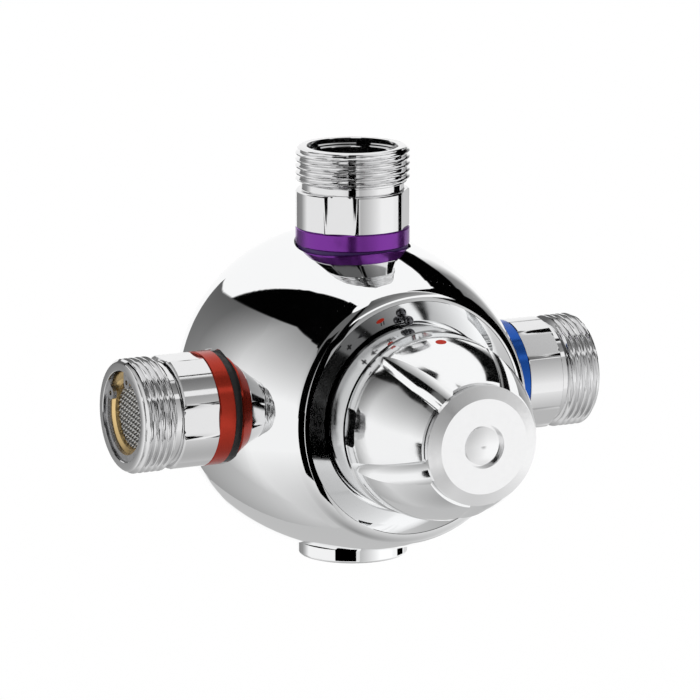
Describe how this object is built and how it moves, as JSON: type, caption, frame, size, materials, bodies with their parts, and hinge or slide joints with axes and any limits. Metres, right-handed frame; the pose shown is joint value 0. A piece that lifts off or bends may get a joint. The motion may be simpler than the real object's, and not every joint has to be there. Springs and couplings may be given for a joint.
{
  "type": "thermostatic mixing valve",
  "caption": "Chrome valve that mixes hot and cold water, with a lobed temperature knob, threaded side inlets and a threaded top outlet.",
  "frame": {"origin": "centre of the mixed outlet's end face", "axes": "+Z out of the mixed outlet, +X out of the cold inlet, -X out of the hot inlet, -Y towards the user's side, along the knob's axis"},
  "size_m": [0.118, 0.1071, 0.0962],
  "materials": {
    "body_chrome": "mirror-bright plating on cast brass",
    "bezel_chrome": "mirror-bright plating",
    "dial_chrome": "mirror-bright plating with printed marks",
    "fitting_chrome": "mirror-bright plating on turned brass",
    "knob_chrome": "mirror-bright plating",
    "cap_chrome": "bright plating, slightly frosted face",
    "button_grey": "plain, slightly satin",
    "ring_red": "translucent anodised look",
    "ring_blue": "translucent anodised look",
    "ring_violet": "translucent anodised look",
    "seal_black": "moulded",
    "strainer_brass": "turned",
    "strainer_cloth": "woven wire",
    "spring_steel": "drawn wire",
    "clip_steel": "stamped and tumbled",
    "inner_brass": "machined",
    "inner_plastic": "moulded",
    "cage_plastic": "moulded",
    "capsule_copper": "drawn copper",
    "screw_steel": "machined"
  },
  "bodies": {
    "valve_body": {"body": "body_chrome", "bezel": "bezel_chrome", "dial_ring": "dial_chrome", "limit_peg": "bezel_chrome", "hot_fitting": "fitting_chrome", "cold_fitting": "fitting_chrome", "mixed_fitting": "fitting_chrome", "hot_ring": "ring_red", "cold_ring": "ring_blue", "mixed_ring": "ring_violet", "hot_seal": "seal_black", "cold_seal": "seal_black", "mixed_seal": "seal_black", "hot_circlip": "clip_steel", "cold_circlip": "clip_steel", "hot_filter_rim": "strainer_brass", "cold_filter_rim": "strainer_brass", "hot_filter_mesh": "strainer_cloth", "cold_filter_mesh": "strainer_cloth", "hot_check_cage": "cage_plastic", "cold_check_cage": "cage_plastic", "hot_check_spring": "spring_steel", "cold_check_spring": "spring_steel", "bottom_plug": "fitting_chrome", "plug_seal": "seal_black", "gland_nut": "inner_brass", "cartridge_sleeve": "inner_brass", "cartridge_seals": "seal_black", "return_spring": "spring_steel"},
    "knob_group": {"knob": "knob_chrome", "knob_cap": "cap_chrome", "centre_button": "button_grey", "knob_insert": "inner_brass", "knob_screw": "screw_steel", "spindle": "inner_brass", "spindle_seal": "seal_black"},
    "mix_group": {"travel_nut": "inner_brass", "wax_element": "capsule_copper", "shuttle": "inner_brass"},
    "hot_poppet_group": {"hot_poppet": "inner_plastic"},
    "cold_poppet_group": {"cold_poppet": "inner_plastic"}
  },
  "joints": [
    {"name": "knob_turn", "type": "hinge", "parent": "valve_body", "child": "knob_group", "pos_m": [0, 0, -0.0581], "axis": [0, -1, 0], "range_deg": [-135, 135]},
    {"name": "mix_slide", "type": "slide", "parent": "valve_body", "child": "mix_group", "axis": [0, 1, 0], "range_m": [-0.00095, 0.00095], "deforming": ["return_spring"]},
    {"name": "hot_check_lift", "type": "slide", "parent": "valve_body", "child": "hot_poppet_group", "axis": [1, 0, 0], "range_m": [0, 0.003], "stiffness_N_per_m": 200, "springref_m": -0.002, "deforming": ["hot_check_spring"]},
    {"name": "cold_check_lift", "type": "slide", "parent": "valve_body", "child": "cold_poppet_group", "axis": [-1, 0, 0], "range_m": [0, 0.003], "stiffness_N_per_m": 200, "springref_m": -0.002, "deforming": ["cold_check_spring"]}
  ],
  "couplings": [
    {"joint": "mix_slide", "follows": "knob_turn", "m_per_rad": 0.00039789}
  ]
}
